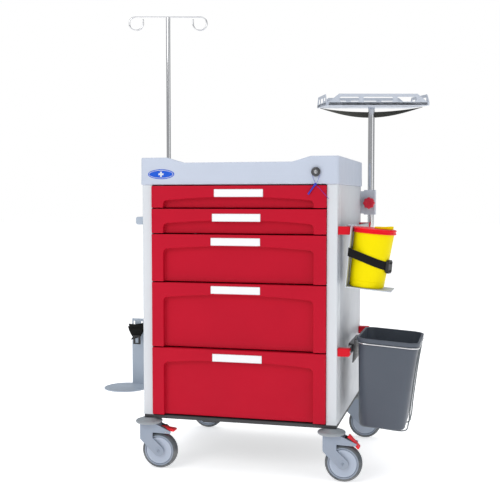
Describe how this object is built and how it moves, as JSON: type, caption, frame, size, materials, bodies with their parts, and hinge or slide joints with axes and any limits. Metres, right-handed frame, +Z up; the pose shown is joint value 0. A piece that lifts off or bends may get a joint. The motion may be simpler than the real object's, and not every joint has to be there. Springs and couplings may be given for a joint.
{
  "type": "crash cart",
  "caption": "Hospital emergency trolley with red drawers under a rimmed worktop, on braked casters, with a swivelling monitor shelf, drip pole, side rails, bins and a gas bottle holder.",
  "frame": {"origin": "on the floor, under the middle of the whole cart's footprint with its side fittings", "axes": "+Z up, -Y out of the drawer fronts, +X towards the side with the sharps container and waste bin"},
  "size_m": [1.1363, 0.8882, 1.6239],
  "materials": {
    "drawer_red": "fine moulded gloss",
    "column_white": "satin powder coat",
    "panel_grey": "satin",
    "housing_blue_grey": "fine grained",
    "tray_white": "satin",
    "base_black": "fine grained",
    "caster_grey": "satin",
    "tyre_grey": "satin",
    "pedal_red": "gloss",
    "bracket_red": "gloss",
    "rail_aluminium": "brushed",
    "dark_steel": "black plated",
    "chrome": "polished",
    "satin_steel": "brushed",
    "clamp_grey": "satin powder coat",
    "knob_red": "gloss",
    "shelf_grey": "satin powder coat",
    "holder_blue_grey": "satin powder coat",
    "webbing_black": "woven webbing",
    "seal_blue": "moulded gloss",
    "sharps_yellow": "gloss",
    "lid_red": "gloss",
    "bin_grey": "fine grained",
    "knob_black": "satin"
  },
  "bodies": {
    "cart_body": {"base_frame": "base_black", "column_left": "column_white", "column_right": "column_white", "side_panel_left": "panel_grey", "side_panel_right": "panel_grey", "back_panel": "panel_grey", "top_housing": "housing_blue_grey", "lock_bezel": "dark_steel", "seal_thread": "seal_blue", "seal_flag": "seal_blue", "rail_right_upper": "rail_aluminium", "rail_right_lower": "rail_aluminium", "rail_left": "rail_aluminium", "rail_right_upper_bracket_front": "bracket_red", "rail_right_upper_bracket_rear": "bracket_red", "rail_right_lower_bracket_front": "bracket_red", "rail_right_lower_bracket_rear": "bracket_red", "rail_left_bracket_front": "holder_blue_grey", "rail_left_bracket_rear": "holder_blue_grey", "drip_tube": "satin_steel", "shelf_clamp": "clamp_grey", "sharps_bracket": "clamp_grey", "sharps_bin": "sharps_yellow", "sharps_lid": "lid_red", "sharps_strap": "webbing_black", "waste_holder": "dark_steel", "bottle_bracket": "holder_blue_grey", "bottle_strap": "webbing_black"},
    "drawer_1": {"drawer_1_front": "drawer_red", "drawer_1_tray": "tray_white"},
    "drawer_2": {"drawer_2_front": "drawer_red", "drawer_2_tray": "tray_white"},
    "drawer_3": {"drawer_3_front": "drawer_red", "drawer_3_tray": "tray_white"},
    "drawer_4": {"drawer_4_front": "drawer_red", "drawer_4_tray": "tray_white"},
    "drawer_5": {"drawer_5_front": "drawer_red", "drawer_5_tray": "tray_white"},
    "caster_front_left": {"caster_front_left_fork": "caster_grey"},
    "caster_front_left_roller": {"caster_front_left_wheel": "tyre_grey"},
    "caster_front_right": {"caster_front_right_fork": "caster_grey"},
    "caster_front_right_roller": {"caster_front_right_wheel": "tyre_grey"},
    "caster_rear_left": {"caster_rear_left_fork": "caster_grey"},
    "caster_rear_left_roller": {"caster_rear_left_wheel": "tyre_grey"},
    "caster_rear_right": {"caster_rear_right_fork": "caster_grey"},
    "caster_rear_right_roller": {"caster_rear_right_wheel": "tyre_grey"},
    "brake_left": {"brake_pedal_left": "pedal_red"},
    "brake_right": {"brake_pedal_right": "pedal_red"},
    "drip_pole": {"drip_rod": "chrome", "drip_hook": "chrome"},
    "drip_clamp_knob": {"drip_knob": "knob_black"},
    "shelf_clamp_knob": {"shelf_knob": "knob_red"},
    "shelf_post": {"shelf_pole": "chrome"},
    "shelf": {"shelf_tray": "shelf_grey", "shelf_strap": "webbing_black"},
    "lock_cylinder": {"lock_barrel": "chrome"},
    "sharps_cover": {"sharps_flap": "sharps_yellow"},
    "waste": {"waste_bin": "bin_grey"}
  },
  "joints": [
    {"name": "drawer_1_slide", "type": "slide", "parent": "cart_body", "child": "drawer_1", "axis": [0, -1, 0], "range_m": [0, 0.34]},
    {"name": "drawer_2_slide", "type": "slide", "parent": "cart_body", "child": "drawer_2", "axis": [0, -1, 0], "range_m": [0, 0.34]},
    {"name": "drawer_3_slide", "type": "slide", "parent": "cart_body", "child": "drawer_3", "axis": [0, -1, 0], "range_m": [0, 0.34]},
    {"name": "drawer_4_slide", "type": "slide", "parent": "cart_body", "child": "drawer_4", "axis": [0, -1, 0], "range_m": [0, 0.34]},
    {"name": "drawer_5_slide", "type": "slide", "parent": "cart_body", "child": "drawer_5", "axis": [0, -1, 0], "range_m": [0, 0.34]},
    {"name": "caster_front_left_swivel", "type": "hinge", "parent": "cart_body", "child": "caster_front_left", "pos_m": [-0.3598, -0.3971, 0.1565], "axis": [0, 0, 1], "continuous": true},
    {"name": "caster_front_left_roll", "type": "hinge", "parent": "caster_front_left", "child": "caster_front_left_roller", "pos_m": [-0.3188, -0.3971, 0.0625], "axis": [0, 1, 0], "continuous": true},
    {"name": "caster_front_right_swivel", "type": "hinge", "parent": "cart_body", "child": "caster_front_right", "pos_m": [0.2842, -0.3971, 0.1565], "axis": [0, 0, 1], "continuous": true},
    {"name": "caster_front_right_roll", "type": "hinge", "parent": "caster_front_right", "child": "caster_front_right_roller", "pos_m": [0.3252, -0.3971, 0.0625], "axis": [0, 1, 0], "continuous": true},
    {"name": "caster_rear_left_swivel", "type": "hinge", "parent": "cart_body", "child": "caster_rear_left", "pos_m": [-0.3598, 0.1789, 0.1565], "axis": [0, 0, 1], "continuous": true},
    {"name": "caster_rear_left_roll", "type": "hinge", "parent": "caster_rear_left", "child": "caster_rear_left_roller", "pos_m": [-0.3188, 0.1789, 0.0625], "axis": [0, 1, 0], "continuous": true},
    {"name": "caster_rear_right_swivel", "type": "hinge", "parent": "cart_body", "child": "caster_rear_right", "pos_m": [0.2842, 0.1789, 0.1565], "axis": [0, 0, 1], "continuous": true},
    {"name": "caster_rear_right_roll", "type": "hinge", "parent": "caster_rear_right", "child": "caster_rear_right_roller", "pos_m": [0.3252, 0.1789, 0.0625], "axis": [0, 1, 0], "continuous": true},
    {"name": "brake_left_press", "type": "hinge", "parent": "caster_front_left", "child": "brake_left", "pos_m": [-0.2918, -0.3971, 0.13], "axis": [0, 1, 0], "range_deg": [0, 40]},
    {"name": "brake_right_press", "type": "hinge", "parent": "caster_front_right", "child": "brake_right", "pos_m": [0.3522, -0.3971, 0.13], "axis": [0, 1, 0], "range_deg": [-40, 0]},
    {"name": "drip_pole_height", "type": "slide", "parent": "cart_body", "child": "drip_pole", "axis": [0, 0, 1], "range_m": [0, 0.25]},
    {"name": "drip_knob_turn", "type": "hinge", "parent": "cart_body", "child": "drip_clamp_knob", "pos_m": [-0.3948, -0.0643, 0.947], "axis": [0, 1, 0], "range_deg": [0, 180]},
    {"name": "shelf_knob_turn", "type": "hinge", "parent": "cart_body", "child": "shelf_clamp_knob", "pos_m": [0.3357, 0.1856, 0.921], "axis": [0, -1, 0], "range_deg": [0, 180]},
    {"name": "shelf_height", "type": "slide", "parent": "cart_body", "child": "shelf_post", "axis": [0, 0, 1], "range_m": [-0.15, 0.12]},
    {"name": "shelf_swivel", "type": "hinge", "parent": "shelf_post", "child": "shelf", "pos_m": [0.3385, 0.2089, 1.2945], "axis": [0, 0, 1], "continuous": true},
    {"name": "lock_turn", "type": "hinge", "parent": "cart_body", "child": "lock_cylinder", "pos_m": [0.2309, -0.4091, 1.0253], "axis": [0, -1, 0], "range_deg": [0, 90]},
    {"name": "sharps_flap_hinge", "type": "hinge", "parent": "cart_body", "child": "sharps_cover", "pos_m": [0.4161, -0.3441, 0.8422], "axis": [0, -1, 0], "range_deg": [0, 100]},
    {"name": "waste_bin_lift", "type": "slide", "parent": "cart_body", "child": "waste", "axis": [0.0698, 0, 0.9976], "range_m": [0, 0.15]}
  ]
}
